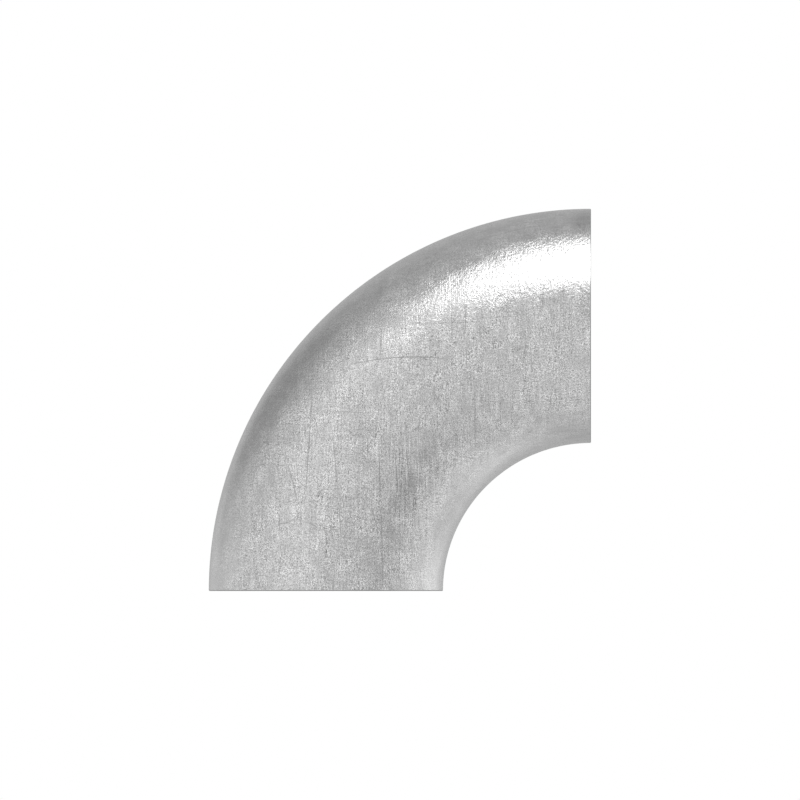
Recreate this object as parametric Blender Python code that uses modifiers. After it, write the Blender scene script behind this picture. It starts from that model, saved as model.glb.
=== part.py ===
# A 90 degree long-radius butt-weld elbow for steel pipe, standing on its lower end.
#
# The elbow is one piece of pipe, bent hot: a ring section turned about the bend axis, with
# no straight stretch at either end. Its wall is thin enough for plain square-cut ends, so
# they carry no weld bevel, only a broken edge.
#
# Metres, +Z up. The lower end faces -Z and rests on Z = 0, the side end faces +X, and the
# bend lies in the XZ plane. The origin is the middle of the elbow's box, on the floor.

import math

import bmesh
import bpy

# Driving dimensions
OUTSIDE_DIAMETER = 0.0424
WALL = 0.0026
BEND_RADIUS = 0.048      # bend axis to the middle of the pipe
BEND_ANGLE = 90.0        # degrees between the two ends
EDGE_BREAK = 0.0002      # taken off the sharp edges of both cut ends

# Facets
SECTION_STEPS = 64       # round the pipe
BEND_STEPS = 32          # along the bend
SHARP_ANGLE = 40.0       # degrees: the edges of the cut ends are sharper than this

# Sizes that follow
OUTSIDE_RADIUS = OUTSIDE_DIAMETER / 2
BORE_RADIUS = OUTSIDE_RADIUS - WALL


def clear_scene():
    for obj in list(bpy.data.objects):
        bpy.data.objects.remove(obj, do_unlink=True)


def new_collection(name):
    collection = bpy.data.collections.new(name)
    bpy.context.scene.collection.children.link(collection)
    return collection


def steel():
    material = bpy.data.materials.new("Drawn steel")
    material.use_nodes = True
    shader = material.node_tree.nodes["Principled BSDF"]
    shader.inputs["Base Color"].default_value = (0.49, 0.49, 0.49, 1.0)
    shader.inputs["Metallic"].default_value = 1.0
    shader.inputs["Roughness"].default_value = 0.32
    return material


def far_side():
    """X of the elbow's right-hand side, measured from the bend axis."""
    turned = math.cos(math.radians(BEND_ANGLE))
    return max(-turned * (BEND_RADIUS - OUTSIDE_RADIUS), -turned * (BEND_RADIUS + OUTSIDE_RADIUS))


def ring_section(bm):
    """The pipe's section at the lower end: a flat ring, BEND_RADIUS from the bend axis."""
    for radius in (OUTSIDE_RADIUS, BORE_RADIUS):
        circle = bmesh.ops.create_circle(bm, segments=SECTION_STEPS, radius=radius)
        bmesh.ops.translate(bm, verts=circle["verts"], vec=(-BEND_RADIUS, 0, 0))
    bmesh.ops.bridge_loops(bm, edges=bm.edges[:])


def bent_pipe():
    """The ring section turned about the bend axis, which is the mesh's own Y axis."""
    bm = bmesh.new()
    ring_section(bm)
    bmesh.ops.spin(
        bm,
        geom=bm.faces[:],
        cent=(0, 0, 0),
        axis=(0, 1, 0),
        angle=math.radians(BEND_ANGLE),
        steps=BEND_STEPS,
    )
    bmesh.ops.recalc_face_normals(bm, faces=bm.faces[:])
    mesh = bpy.data.meshes.new("elbow")
    bm.to_mesh(mesh)
    bm.free()
    mesh.shade_smooth()
    mesh.set_sharp_from_angle(angle=math.radians(SHARP_ANGLE))
    return mesh


def break_edges(elbow):
    """Takes the burr off the four edges of the cut ends."""
    bevel = elbow.modifiers.new("Broken edges", "BEVEL")
    bevel.width = min(EDGE_BREAK, WALL / 3)
    bevel.segments = 1
    bevel.limit_method = "ANGLE"
    bevel.angle_limit = math.radians(SHARP_ANGLE)


def main():
    clear_scene()
    elbow = bpy.data.objects.new("elbow", bent_pipe())
    elbow.data.materials.append(steel())
    new_collection("Weld elbow").objects.link(elbow)
    left_side = -(BEND_RADIUS + OUTSIDE_RADIUS)
    elbow.location.x = -(left_side + far_side()) / 2
    break_edges(elbow)


main()
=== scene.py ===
# Looks of a 90 degree steel weld elbow: a bent pipe with a brushed skin, a drawn bore
# and faced ends, standing on its lower end under a softbox.

import math

import bpy
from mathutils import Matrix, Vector


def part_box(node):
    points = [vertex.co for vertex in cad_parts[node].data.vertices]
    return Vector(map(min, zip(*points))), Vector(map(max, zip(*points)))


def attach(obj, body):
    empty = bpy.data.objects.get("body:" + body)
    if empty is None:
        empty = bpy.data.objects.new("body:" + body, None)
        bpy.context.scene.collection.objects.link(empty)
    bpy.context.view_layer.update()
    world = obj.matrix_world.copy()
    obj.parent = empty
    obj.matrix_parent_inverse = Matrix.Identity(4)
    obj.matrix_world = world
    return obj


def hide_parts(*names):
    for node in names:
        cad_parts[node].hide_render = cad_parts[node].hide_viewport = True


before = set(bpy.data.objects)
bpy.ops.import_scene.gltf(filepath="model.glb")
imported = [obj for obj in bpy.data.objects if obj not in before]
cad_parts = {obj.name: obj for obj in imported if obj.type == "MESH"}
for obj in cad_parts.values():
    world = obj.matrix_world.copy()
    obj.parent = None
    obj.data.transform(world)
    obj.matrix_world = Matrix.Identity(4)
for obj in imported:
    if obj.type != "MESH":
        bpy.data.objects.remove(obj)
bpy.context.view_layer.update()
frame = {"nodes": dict(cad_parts)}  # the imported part, in metres
print("frame loaded:", ", ".join(frame["nodes"]))


class Wire:
    # a socket in a node tree that Python's operators work on
    def __init__(self, graph, socket):
        self.graph = graph
        self.socket = socket

    def math(self, operation, *others):
        return self.graph.add("ShaderNodeMath", {"operation": operation}, [self, *others])

    def other(self, name):
        return Wire(self.graph, self.socket.node.outputs[name])

    def atMost(self, value):
        return self.math("MINIMUM", value)

    def atLeast(self, value):
        return self.math("MAXIMUM", value)

    def hypot(self, side):
        return (self * self + side * side).math("SQRT")

    def __add__(self, value):
        return self.math("ADD", value)

    def __sub__(self, value):
        return self.math("SUBTRACT", value)

    def __mul__(self, value):
        return self.math("MULTIPLY", value)

    def __truediv__(self, value):
        return self.math("DIVIDE", value)

    def __pow__(self, value):
        return self.math("POWER", value)

    def __rsub__(self, value):
        return self.graph.add("ShaderNodeMath", {"operation": "SUBTRACT"}, [value, self])

    def __rtruediv__(self, value):
        return self.graph.add("ShaderNodeMath", {"operation": "DIVIDE"}, [value, self])

    __radd__ = __add__
    __rmul__ = __mul__


class Graph:
    # a node tree, and the one way that nodes come into it
    def __init__(self, tree):
        self.tree = tree

    def add(self, kind, settings=None, sockets=(), output=0):
        node = self.tree.nodes.new(kind)
        for name, value in (settings or {}).items():
            setattr(node, name, value)
        given = sockets.items() if isinstance(sockets, dict) else enumerate(sockets)
        for key, value in given:
            if isinstance(value, Wire):
                self.tree.links.new(value.socket, node.inputs[key])
            else:
                node.inputs[key].default_value = value
        return Wire(self, node.outputs[output]) if node.outputs else None

    def feed(self, node, key, wire):
        self.tree.links.new(wire.socket, node.inputs[key])

    def xyz(self, vector):
        x = self.add("ShaderNodeSeparateXYZ", None, [vector])
        return x, x.other("Y"), x.other("Z")

    def vector(self, x, y, z):
        return self.add("ShaderNodeCombineXYZ", None, [x, y, z])

    def ease(self, value, low, high):
        # 0 up to low, 1 from high, and a smooth step between
        limits = {"Value": value, "From Min": low, "From Max": high}
        return self.add("ShaderNodeMapRange", {"interpolation_type": "SMOOTHSTEP"}, limits)

    def mix(self, low, high, factor):
        # colour low where factor is 0, colour high where it is 1
        return self.add("ShaderNodeMix", {"data_type": "RGBA"}, {0: factor, 6: low, 7: high}, 2)

    def bump(self, height, depth):
        heights = {"Strength": 1.0, "Distance": depth, "Height": height}
        return self.add("ShaderNodeBump", None, heights)


# the pipe: its box comes from the frame, its wall and edges are the real one's

mm = 0.001
lowCorner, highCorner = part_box("elbow")
outsideRadius = (highCorner.y - lowCorner.y) / 2
farSide = highCorner.z - lowCorner.z  # bend axis to the outside of the bend
bendRadius = farSide - outsideRadius
sideX = highCorner.x  # the side end's plane, which holds the bend axis

pipeShape = {
    "Outside Radius": outsideRadius,
    "Wall": 2.6 * mm,
    "Bend Radius": bendRadius,
    "Bend Angle": math.radians(90),
    "Axis X": sideX,
    "Edge Break": 0.2 * mm,  # radius that the four sharp edges of the cut ends are rounded to
    "Edge Steps": 4,
    "Ring Steps": 168,  # round the pipe
    "Bend Steps": 120,  # along the bend
    "Flat Depth": 0.004 * mm,  # what lies no deeper than this belongs to the flat end face
}


def unbend(graph, place, axisX, radius):
    # where a point of the elbow lies on the straight pipe: across, across along Y, and
    # along, from the lower end; all in metres
    x, y, z = graph.xyz(place)
    toAxis = axisX - x
    reach = toAxis.hypot(z)
    angle = z.math("ARCTAN2", toAxis)
    return radius - reach, y, angle * radius


def pipeTree(skin, bore, ends):
    # a straight pipe, its wall's section rounded at the edges, then bent about the axis
    tree = bpy.data.node_groups.new("Bent pipe", "GeometryNodeTree")
    for name, value in pipeShape.items():
        kind = "NodeSocketInt" if isinstance(value, int) else "NodeSocketFloat"
        tree.interface.new_socket(name, in_out="INPUT", socket_type=kind)
    tree.interface.new_socket("Geometry", in_out="OUTPUT", socket_type="NodeSocketGeometry")
    graph = Graph(tree)
    given = graph.add("NodeGroupInput")
    size = {name: given.other(name) for name in pipeShape}
    length = size["Bend Radius"] * size["Bend Angle"]

    # the wall's section, with X across the wall and Y along the pipe; only its two long
    # sides are cut into steps
    outline = graph.add(
        "GeometryNodeCurvePrimitiveQuadrilateral",
        {"mode": "RECTANGLE"},
        {"Width": size["Wall"], "Height": length},
    )
    rounded = graph.add(
        "GeometryNodeFilletCurve",
        {"mode": "POLY"},
        {"Curve": outline, "Count": size["Edge Steps"], "Radius": size["Edge Break"]},
    )
    here = graph.add("GeometryNodeInputPosition")
    nextIndex = graph.add("GeometryNodeOffsetPointInCurve", None, {"Offset": 1}, "Point Index")
    ahead = graph.add(
        "GeometryNodeFieldAtIndex",
        {"data_type": "FLOAT_VECTOR", "domain": "POINT"},
        {"Value": here, "Index": nextIndex},
    )
    gap = graph.add("ShaderNodeVectorMath", {"operation": "DISTANCE"}, [here, ahead], "Value")
    cuts = gap.math("GREATER_THAN", length / 2) * (size["Bend Steps"] - 1)
    section = graph.add("GeometryNodeSubdivideCurve", None, {"Curve": rounded, "Cuts": cuts})

    # swept round a ring, it is the straight pipe, with its middle at Z = 0
    ring = graph.add(
        "GeometryNodeCurvePrimitiveCircle",
        {"mode": "RADIUS"},
        {"Resolution": size["Ring Steps"], "Radius": size["Outside Radius"] - size["Wall"] / 2},
    )
    straight = graph.add("GeometryNodeCurveToMesh", None, {"Curve": ring, "Profile Curve": section})

    # bent: a point keeps its distance to the pipe's middle line, and the broken edges keep
    # their width round the whole end
    across, y, fromMiddle = graph.xyz(here)
    along = fromMiddle + length / 2
    reach = size["Bend Radius"] - across
    nearEnd = along.atMost(length - along).atMost(size["Edge Break"])
    keepWidth = nearEnd * (1 / reach - 1 / size["Bend Radius"]) * (1 - 2 * along / length)
    angle = along / size["Bend Radius"] + keepWidth
    bentPlace = graph.vector(
        size["Axis X"] - reach * angle.math("COSINE"), y, reach * angle.math("SINE")
    )
    bent = graph.add("GeometryNodeSetPosition", None, {"Geometry": straight, "Position": bentPlace})

    # the flat end faces are shaded flat, and the rest smooth
    x, y, z = graph.xyz(here)
    fromEnd = z.atMost(size["Axis X"] - x)
    curved = fromEnd.math("GREATER_THAN", size["Flat Depth"])
    shaded = graph.add(
        "GeometryNodeSetShadeSmooth", None, {"Geometry": bent, "Shade Smooth": curved}
    )
    made = graph.add("GeometryNodeRealizeInstances", None, {"Geometry": shaded})

    # three finishes: the skin, inside the bore, and the ends with their broken edges
    across, y, along = unbend(graph, here, size["Axis X"], size["Bend Radius"])
    inBore = across.hypot(y).math("LESS_THAN", size["Outside Radius"] - size["Wall"])
    atEnd = fromEnd.math("LESS_THAN", size["Edge Break"])
    for material, where in ((skin, True), (bore, inBore), (ends, atEnd)):
        made = graph.add(
            "GeometryNodeSetMaterial",
            None,
            {"Geometry": made, "Selection": where, "Material": material},
        )
    graph.add("NodeGroupOutput", None, {"Geometry": made})
    return tree


def makePipe(materials):
    tree = pipeTree(*materials)
    blank = bpy.data.meshes.new("blank")
    maker = bpy.data.objects.new("maker", blank)
    bpy.context.scene.collection.objects.link(maker)
    modifier = maker.modifiers.new("Bent pipe", "NODES")
    modifier.node_group = tree
    for item in tree.interface.items_tree:
        if item.in_out == "INPUT":
            modifier[item.identifier] = pipeShape[item.name]
    evened = maker.modifiers.new("Even shading", "WEIGHTED_NORMAL")
    evened.keep_sharp = True
    evaluated = maker.evaluated_get(bpy.context.evaluated_depsgraph_get())
    mesh = bpy.data.meshes.new_from_object(evaluated)
    mesh.name = "pipe_elbow"
    bpy.data.objects.remove(maker)
    bpy.data.meshes.remove(blank)
    pipe = bpy.data.objects.new("pipe_elbow", mesh)
    bpy.context.scene.collection.objects.link(pipe)
    return pipe


# finishes

def newSteel(name, roughness=None):
    # a material, its graph, its shader and Object coordinates
    material = bpy.data.materials.new(name)
    material.use_nodes = True
    graph = Graph(material.node_tree)
    shader = material.node_tree.nodes["Principled BSDF"]
    shader.inputs["Metallic"].default_value = 1.0
    if roughness is not None:
        shader.inputs["Roughness"].default_value = roughness
    place = graph.add("ShaderNodeTexCoord", output="Object")
    return material, graph, shader, place


def grey(level):
    return (level, level, level, 1)


def grain(graph, place, feature, start=(0, 0, 0), detail=2.0):
    # noise of mean 0, whose features are this long in X, Y and Z, in millimetres; noises that
    # start at other places don't look alike
    scale = tuple(1 / (length * mm) for length in feature)
    scaled = graph.add(
        "ShaderNodeMapping", None, {"Vector": place, "Location": start, "Scale": scale}
    )
    noise = graph.add(
        "ShaderNodeTexNoise",
        {"noise_dimensions": "3D"},
        {"Vector": scaled, "Scale": 1.0, "Detail": detail, "Roughness": 0.5},
    )
    return noise - 0.5


hairlineGaps = {
    "size": 1.7,  # of the noise that breaks the lines, where 1 is that of the one they follow
    "fade": (0.02, 0.1),  # its values between which a line fades in
}


def hairlines(graph, place, feature, width, start):
    # thin lines where a stretched noise passes through its mean, broken by a second noise
    middle = grain(graph, place, feature, start, detail=1.0).math("ABSOLUTE")
    line = 1 - graph.ease(middle, 0, width)
    longer = tuple(length * hairlineGaps["size"] for length in feature)
    gaps = grain(graph, place, longer, start[::-1], detail=1.0)
    return line * graph.ease(gaps, *hairlineGaps["fade"])


spotFade = (0.4, 1.2)  # a spot is whole inside the first and gone past the second, in reaches


def spot(graph, x, z, middle, reach):
    # 1 inside an upright oval, in millimetres on the front view, and 0 outside it
    across = (x - middle[0] * mm) / (reach[0] * mm)
    up = (z - middle[1] * mm) / (reach[1] * mm)
    return 1 - graph.ease(across.hypot(up), *spotFade)


brushedSkin = {
    "mean": 0.494,  # linear brightness of the bare steel
    "roughness": 0.2,
    # each noise: size of a feature in mm, how strongly it shows, and where the noise starts
    "grain": ((0.12, 0.14, 0.2), 3.2, (0, 0, 0)),
    "brush": ((0.15, 4.0, 3.2), 0.6, (7, 3, 5)),
    "lines": ((0.27, 4.0, 5.5), 0.2, (4, 6, 8)),
    "cross": ((2.2, 4.0, 0.18), 0.45, (1, 9, 4)),
    "streak": ((0.5, 6.0, 10.0), 0.25, (6, 2, 3)),
    "drawn": ((0.3, 0.3, 8.0), 0.27, (8, 5, 2)),
    "patch": ((3.0, 3.0, 3.6), 0.35, (2, 2, 8)),
    # a line's width, as a value of the noise, stands before how strongly it shows
    "upright hairlines": ((1.6, 12.0, 26.0), 0.012, 0.24, (3, 8, 1)),
    "level hairlines": ((22.0, 12.0, 2.4), 0.008, 0.22, (5, 1, 9)),
    # the distances from the middle plane, in outside radii, where the grain begins to grow
    # and where it is full, and the share of it that the middle plane has
    "scuffing": (0.4, 0.8, 0.5),
    "patchiness": 2.0,  # how much a patch changes its grain
    "brushed zones": [  # middle and reach in X and Z, and how strongly brushed
        ((1.6, 21.5), (6.0, 12.0), 1.0),
        ((15.5, 35.0), (4.0, 8.0), 0.6),
    ],
    "zone": (0.12, 3.3),  # grain lost there, and lines gained
    "front": (0.5 * mm, 4.0 * mm),  # marks and spots set in this far before the middle plane
    "mark darkness": 1.4,  # how much a mark of depth 1 darkens the steel
    "mark smoothness": 3.0,  # and how much grain it takes away
    "ripple": ((0.5, 0.5, 0.6), (9, 4, 2)),  # a noise that shows in the height alone
    "grain height": 0.5,  # of the grain and the brushing, where the ripple's is 1
    "bump": 0.062 * mm,
}

# marks on the front of the skin, as the photo shows them: both ends in X and Z, how far the
# middle rises from the straight line between them, width at half depth, and depth from 0 to
# 1; lengths in millimetres
frontMarks = [
    ((-15.9, 36.2), (-16.5, 25.0), 0.0, 0.15, 0.30),
    ((-16.4, 28.5), (-17.0, 17.9), 0.0, 0.16, 0.30),
    ((-20.3, 22.8), (-18.5, 16.0), 0.1, 0.16, 0.25),
    ((-17.9, 15.0), (-18.0, 11.6), 0.0, 0.18, 0.25),
    ((-21.7, 14.3), (-21.9, 9.9), 0.0, 0.16, 0.22),
    ((-11.1, 16.4), (-10.6, 9.2), 0.0, 0.14, 0.24),
    ((-12.1, 27.9), (-11.2, 17.9), 0.0, 0.16, 0.24),
    ((-12.0, 45.1), (-12.0, 40.7), 0.0, 0.12, 0.09),
    ((-3.8, 26.0), (-3.5, 16.0), 0.0, 0.16, 0.30),
    ((-3.5, 15.0), (-3.1, 0.3), 0.1, 0.18, 0.24),
    ((-5.1, 15.2), (-4.0, 11.0), 0.0, 0.18, 0.26),
    ((-1.1, 27.4), (-0.2, 16.6), 0.0, 0.15, 0.26),
    ((-3.3, 47.5), (-3.6, 41.8), 0.0, 0.20, 0.22),
    ((1.1, 25.9), (1.5, 21.9), 0.0, 0.15, 0.24),
    ((3.5, 25.6), (4.0, 21.0), 0.0, 0.14, 0.22),
    ((13.6, 37.4), (13.6, 25.5), 0.0, 0.14, 0.20),
    ((12.0, 51.8), (11.8, 46.4), 0.0, 0.18, 0.30),
    ((12.1, 43.7), (12.0, 40.4), 0.0, 0.15, 0.22),
    ((9.4, 50.9), (9.4, 44.6), 0.0, 0.16, 0.20),
    ((6.2, 37.3), (6.2, 34.2), 0.0, 0.18, 0.28),
    ((17.9, 45.5), (17.9, 39.7), 0.0, 0.14, 0.18),
    ((23.8, 43.7), (23.9, 38.2), 0.0, 0.14, 0.16),
    ((27.4, 35.9), (27.0, 32.4), 0.0, 0.14, 0.18),
    ((-15.6, 12.5), (-15.6, 10.0), 0.0, 0.30, 0.14),
    ((-10.0, 13.4), (-9.6, 11.6), 0.0, 0.30, 0.16),
    ((-8.9, 41.0), (8.7, 42.0), 0.8, 0.16, 0.34),  # the long one over the middle
    ((1.2, 48.5), (6.9, 48.5), 0.0, 0.14, 0.24),
    ((-15.6, 32.4), (-4.8, 32.2), 0.1, 0.14, 0.20),
    ((-21.8, 30.2), (-17.2, 30.2), 0.0, 0.12, 0.14),
    ((-17.0, 16.3), (-13.9, 16.3), 0.0, 0.14, 0.26),
    ((-21.2, 15.9), (-19.4, 16.3), 0.0, 0.14, 0.20),
    ((-22.1, 12.3), (-18.5, 13.6), -0.5, 0.16, 0.24),
    ((-17.6, 12.5), (-14.5, 11.1), 0.3, 0.14, 0.22),
    ((-10.7, 9.6), (-8.3, 9.8), 0.0, 0.14, 0.20),
    ((2.0, 39.1), (4.0, 39.1), 0.0, 0.14, 0.20),
    ((-15.0, 17.4), (-12.8, 18.5), 0.4, 0.26, 0.18),
    ((-7.2, 18.3), (-5.6, 18.3), 0.4, 0.18, 0.28),
    ((-9.6, 16.5), (-7.6, 17.0), 0.0, 0.26, 0.18),
    ((3.8, 46.4), (3.8, 40.0), 0.0, 0.14, 0.16),
]

# soft spots on the front: middle and reach in X and Z, and how much paler; most are random
# changes of tone, and four are painted shade along the softbox's highlight and at a corner
frontSpotsAndShade = [
    ((15.3, 47.2), (1.3, 1.6), -0.12),
    ((19.2, 51.4), (0.9, 1.3), -0.12),
    ((12.8, 38.6), (1.0, 1.2), -0.10),
    ((15.6, 29.0), (1.4, 1.8), -0.08),
    ((-14.5, 17.4), (1.0, 0.8), -0.12),
    ((-1.2, 3.8), (1.4, 1.2), -0.10),
    ((-14.4, 10.2), (0.9, 0.9), 0.10),
    ((-6.5, 20.3), (0.6, 0.6), 0.12),
    # painted shade: the next four darken the side end's upper corner and the rims of the highlight
    ((33.5, 67.0), (2.5, 2.5), -0.15),  # the upper corner of the side end
    ((34.2, 52.5), (1.2, 4.5), -0.08),
    ((25.0, 64.0), (3.5, 1.2), -0.08),
    ((11.0, 59.5), (3.0, 1.5), -0.05),
    ((-8.5, 34.5), (3.5, 2.5), -0.09),
    ((-6.0, 29.0), (3.0, 3.5), -0.09),
    ((-2.5, 30.0), (1.2, 2.5), 0.08),
    ((-5.7, 14.2), (0.8, 0.8), 0.12),
    ((-19.3, 14.8), (0.8, 0.8), 0.10),
    ((-13.5, 2.8), (1.2, 1.2), -0.08),
]


def markOn(graph, place, start, end, rise, width, depth):
    # one scratch: its own frame has X from -1 to 1 along it and Z across it, in widths
    run, climb = end[0] - start[0], end[1] - start[1]
    turned = graph.add(
        "ShaderNodeMapping",
        {"vector_type": "TEXTURE"},
        {
            "Vector": place,
            "Location": ((start[0] + end[0]) / 2 * mm, 0, (start[1] + end[1]) / 2 * mm),
            "Rotation": (0, -math.atan2(climb, run), 0),
            "Scale": (math.hypot(run, climb) / 2 * mm, 1, width * mm),
        },
    )
    along, y, across = graph.xyz(turned)
    reach = 1 - along * along
    if rise:
        across = across - reach * (rise / width)
    body = graph.add(
        "ShaderNodeMath",
        {"operation": "SUBTRACT", "use_clamp": True},
        [1, across.math("ABSOLUTE")],
    )
    return body * reach.atLeast(0).math("SQRT") * depth


def skinSteel():
    look = brushedSkin
    material, graph, shader, place = newSteel("brushed steel skin", look["roughness"])
    x, y, z = graph.xyz(place)

    # the elbow lies and slides on its two sides, which makes their grain the strongest
    low, high, least = look["scuffing"]
    sideways = graph.ease(y.math("ABSOLUTE") / outsideRadius, low, high)
    scuffed = sideways * (1 - least) + least

    # patches are paler or darker, and have more grain or less
    size, patchTone, start = look["patch"]
    patch = grain(graph, place, size, start)
    unevenness = 1 + patch * look["patchiness"]
    scuffed = scuffed * unevenness
    sideways = sideways * unevenness

    brushed = 0
    for middle, reach, strongly in look["brushed zones"]:
        brushed = brushed + spot(graph, x, z, middle, reach) * strongly
    grainLost, linesGained = look["zone"]
    size, strength, start = look["grain"]
    fine = grain(graph, place, size, start) * scuffed * (1 - brushed * grainLost)
    texture = (1 + fine * (strength / 2)) ** 2 - 1  # pale grains stand out more than dark ones
    size, strength, start = look["lines"]
    lines = grain(graph, place, size, start, detail=1.0) * sideways
    texture = texture + lines * (1 + brushed * linesGained) * strength
    size, strength, start = look["brush"]
    brush = grain(graph, place, size, start) * sideways
    texture = texture + brush * strength
    for name in ("cross", "streak"):
        size, strength, start = look[name]
        texture = texture + grain(graph, place, size, start) * scuffed * strength
    for name in ("upright hairlines", "level hairlines"):
        size, width, strength, start = look[name]
        texture = texture - hairlines(graph, place, size, width, start) * scuffed * strength

    # between the two sides, the streaks run along the pipe
    straight = graph.vector(*unbend(graph, place, sideX, bendRadius))
    size, strength, start = look["drawn"]
    texture = texture + grain(graph, straight, size, start) * (1 - sideways) * strength

    # marks and spots on the front, some spots being painted shade, and a mark cuts through the
    # grain
    front = graph.ease(-1 * y, *look["front"])
    marks = 0
    for start, end, rise, width, depth in frontMarks:
        marks = marks + markOn(graph, place, start, end, rise, width, depth)
    marks = marks * front
    spots = 0
    # random spots of tone, and painted shade along the highlight and at the side end's corner
    for middle, reach, paler in frontSpotsAndShade:
        spots = spots + spot(graph, x, z, middle, reach) * paler
    cut = (1 - marks * look["mark smoothness"]).atLeast(0)
    tone = 1 + texture * cut + patch * patchTone + spots * front - marks * look["mark darkness"]
    graph.feed(shader, "Base Color", graph.mix(grey(0), grey(1), tone * look["mean"]))

    size, start = look["ripple"]
    ripple = grain(graph, place, size, start, detail=1.0) * scuffed
    height = (fine + brush) * look["grain height"] + ripple
    graph.feed(shader, "Normal", graph.bump(height, look["bump"]))
    return material


drawnBore = {
    "mean": 0.42,
    "roughness": 0.34,
    "streak": ((0.3, 0.3, 9.0), 0.5, (0, 0, 0)),
    "cloud": ((4.0, 4.0, 8.0), 0.35, (4, 1, 6)),
    "cloud roughness": 0.15,
    "bump": 0.01 * mm,
}


def boreSteel():
    look = drawnBore
    material, graph, shader, place = newSteel("drawn steel bore")
    straight = graph.vector(*unbend(graph, place, sideX, bendRadius))
    size, strength, start = look["streak"]
    streak = grain(graph, straight, size, start, detail=3.0)
    tone = 1 + streak * strength
    size, strength, start = look["cloud"]
    cloud = grain(graph, straight, size, start, detail=3.0)
    tone = (tone + cloud * strength) * look["mean"]
    graph.feed(shader, "Base Color", graph.mix(grey(0), grey(1), tone))
    graph.feed(shader, "Roughness", look["roughness"] + cloud * look["cloud roughness"])
    graph.feed(shader, "Normal", graph.bump(streak, look["bump"]))
    return material


facedEnd = {
    "mean": 0.42,
    "roughness": 0.3,
    "ring pitch": 0.16 * mm,
    "ring tone": 0.08,
    "fleck": ((0.3, 0.3, 0.3), 0.5, (0, 0, 0)),
    # distances from the end face, in mm, at which a painted dark line of shade on the broken edge
    # fades in, is full, fades out and is gone, and how dark it is
    "broken edge": (0.02, 0.06, 0.13, 0.18, 0.45),
    # middle and reach of a painted highlight on the broken edges, where the softbox's highlight
    # reaches the side end, and how much paler it is
    "painted edge highlight": ((34.6, 59.7), (1.5, 5.0), 0.2),
    "bump": 0.003 * mm,
}


def endSteel():
    look = facedEnd
    material, graph, shader, place = newSteel("faced steel ends", look["roughness"])
    across, y, along = unbend(graph, place, sideX, bendRadius)
    turned = (across.hypot(y) * (2 * math.pi / look["ring pitch"])).math("SINE")
    size, strength, start = look["fleck"]
    fleck = grain(graph, place, size, start, detail=3.0)
    tone = 1 + fleck * strength + turned * look["ring tone"]
    x, y, z = graph.xyz(place)
    fromEnd = z.atMost(sideX - x) / mm
    # painted shade: a dark line along the broken edges of both ends
    starts, full, fades, gone, dark = look["broken edge"]
    broken = graph.ease(fromEnd, starts, full) - graph.ease(fromEnd, fades, gone)
    # painted highlight: the edges are made paler where the softbox's highlight meets the side end
    middle, reach, paler = look["painted edge highlight"]
    edgeHighlight = spot(graph, x, z, middle, reach)
    tone = tone * (1 - broken * (1 - edgeHighlight) * dark) * (1 + edgeHighlight * paler)
    graph.feed(shader, "Base Color", graph.mix(grey(0), grey(1), tone * look["mean"]))
    graph.feed(shader, "Normal", graph.bump(turned, look["bump"]))
    return material


pipe = makePipe([skinSteel(), boreSteel(), endSteel()])
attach(pipe, "root")
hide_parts("elbow")
print("pipe made:", len(pipe.data.polygons), "faces")


# the studio: a room with white boards and dim gaps, a softbox and a pale floor

def towards(azimuth, elevation):
    # azimuth 0 is towards the camera, 90 to its right, 180 behind the elbow
    azimuth, elevation = math.radians(azimuth), math.radians(elevation)
    flat = math.cos(elevation)
    return Vector((math.sin(azimuth) * flat, -math.cos(azimuth) * flat, math.sin(elevation)))


room = {
    "white": 1.0,  # what the camera sees behind the elbow; the steel reflects the walls
    "wall spread": 2,  # how narrow a wall is; at 2, six equal walls are as bright all round
    "walls": [  # azimuth, elevation, brightness
        (0, 0, 0.97),  # before the elbow
        (180, 0, 0.57),  # behind it
        (-90, 0, 1.0),  # on its left, as the camera sees it
        (90, 0, 1.1),  # on its right
        (0, 90, 0.7),  # ceiling
        (0, -90, 1.0),  # floor
    ],
    "boards": [  # azimuth, elevation, how much paler than the walls, how narrow
        (-35, 5, 0.25, 10),  # white boards on the left before the elbow, level and high
        (-40, 45, 0.5, 18),
        (-115, 0, 0.15, 20),  # two white boards behind on the left, and the dim gaps over them
        (-145, 0, 0.25, 40),
        (-120, 30, -0.35, 15),
        (-140, 15, -0.2, 40),
        (10, -45, 0.1, 8),  # white board low before the elbow
        (60, -25, -0.35, 12),  # dim corner on the right before the elbow
        (50, -5, -0.15, 20),
        (90, -35, 0.2, 30),  # white board low on the right, and the dim gap under it
        (75, -60, -0.12, 20),
        (130, 5, 0.55, 15),  # two white boards behind on the right, and the gap between them
        (140, -40, 0.35, 20),
        (125, -25, -0.2, 40),
        (170, -55, -0.15, 12),  # dim gap behind, low
    ],
}


def makeRoom():
    world = bpy.data.worlds.new("studio room")
    bpy.context.scene.world = world
    world.use_nodes = True
    graph = Graph(world.node_tree)
    direction = graph.add("ShaderNodeTexCoord", output="Generated")
    walls = [(*wall, room["wall spread"]) for wall in room["walls"]]
    light = 0
    for azimuth, elevation, amount, narrow in walls + room["boards"]:
        facing = graph.add(
            "ShaderNodeVectorMath",
            {"operation": "DOT_PRODUCT"},
            [direction, towards(azimuth, elevation)],
            "Value",
        )
        light = light + facing.atLeast(0) ** narrow * amount
    seen = graph.add("ShaderNodeLightPath", output="Is Camera Ray")
    background = world.node_tree.nodes["Background"]
    background.inputs["Color"].default_value = grey(1)
    graph.feed(background, "Strength", light + seen * (room["white"] - light))


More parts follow.
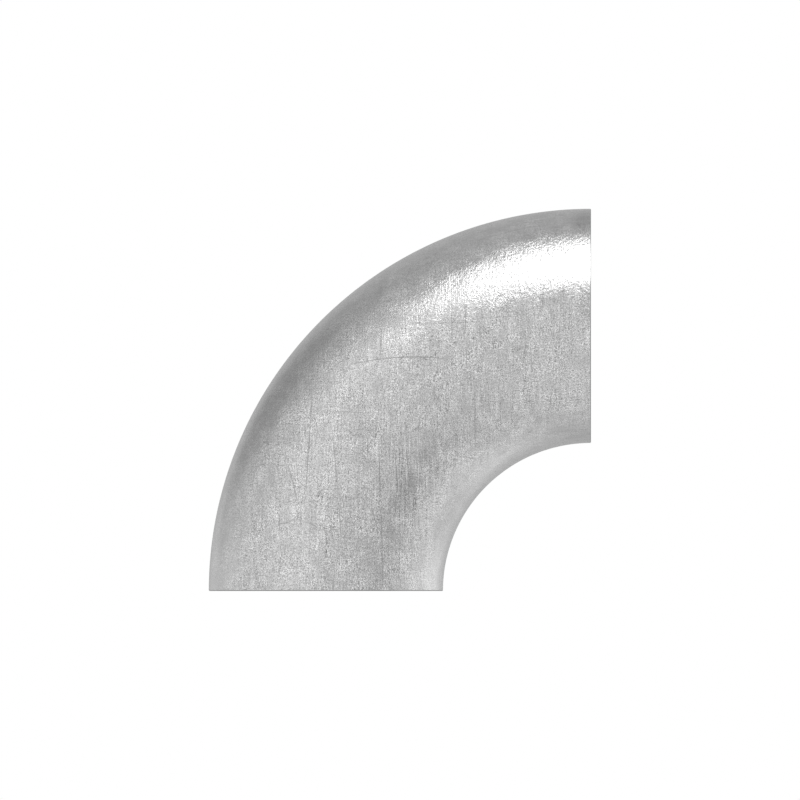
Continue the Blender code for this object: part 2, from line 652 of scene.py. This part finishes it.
softbox = {
    "brightness": 3.0,  # watts from each square metre of it, over pi
    "middle": (0.23, -0.5, 1.0),  # metres, before the elbow on the right; it faces down
    "radius": 0.53,
}


def makeSoftbox():
    lamp = bpy.data.lights.new("softbox", "AREA")
    lamp.shape = "DISK"
    lamp.size = softbox["radius"] * 2
    area = math.pi * softbox["radius"] ** 2
    lamp.energy = softbox["brightness"] * math.pi * area
    lampObject = bpy.data.objects.new("softbox", lamp)
    lampObject.location = softbox["middle"]
    lampObject.visible_camera = False
    bpy.context.scene.collection.objects.link(lampObject)


floor = {
    "radius": 1.5,
    "corners": 96,
    "colour": 0.75,
    "roughness": 0.9,
    "specular": 0.1,
    "gap": 0.02 * mm,  # under the lower end, so that the two faces don't share a plane
}


def makeFloor():
    bpy.ops.mesh.primitive_circle_add(
        vertices=floor["corners"], radius=floor["radius"], fill_type="NGON"
    )
    plate = bpy.context.object
    plate.name = "studio_floor"
    plate.location.z = -floor["gap"]
    material = bpy.data.materials.new("pale floor")
    material.use_nodes = True
    shader = material.node_tree.nodes["Principled BSDF"]
    shader.inputs["Base Color"].default_value = grey(floor["colour"])
    shader.inputs["Roughness"].default_value = floor["roughness"]
    shader.inputs["Specular IOR Level"].default_value = floor["specular"]
    plate.data.materials.append(material)
    plate.visible_glossy = False  # the steel reflects the room's floor wall, not this plate


camera = {
    "frame": 800,  # pixels
    "elbow width": 382.25,  # pixels
    "ends": 591,  # the pixel column of the side end, and the row of the lower end
    "distance": 0.5,  # metres
}


def makeCamera():
    lens = bpy.data.cameras.new("camera")
    lens.type = "ORTHO"
    pixel = farSide / camera["elbow width"]
    lens.ortho_scale = camera["frame"] * pixel
    lensObject = bpy.data.objects.new("camera", lens)
    toEnds = (camera["ends"] - camera["frame"] / 2) * pixel
    lensObject.location = (sideX - toEnds, -camera["distance"], toEnds)
    lensObject.rotation_euler = (math.radians(90), 0, 0)
    bpy.context.scene.collection.objects.link(lensObject)
    bpy.context.scene.camera = lensObject


makeRoom()
makeSoftbox()
makeFloor()
makeCamera()
bpy.context.scene.view_settings.view_transform = "Standard"
print("studio made")
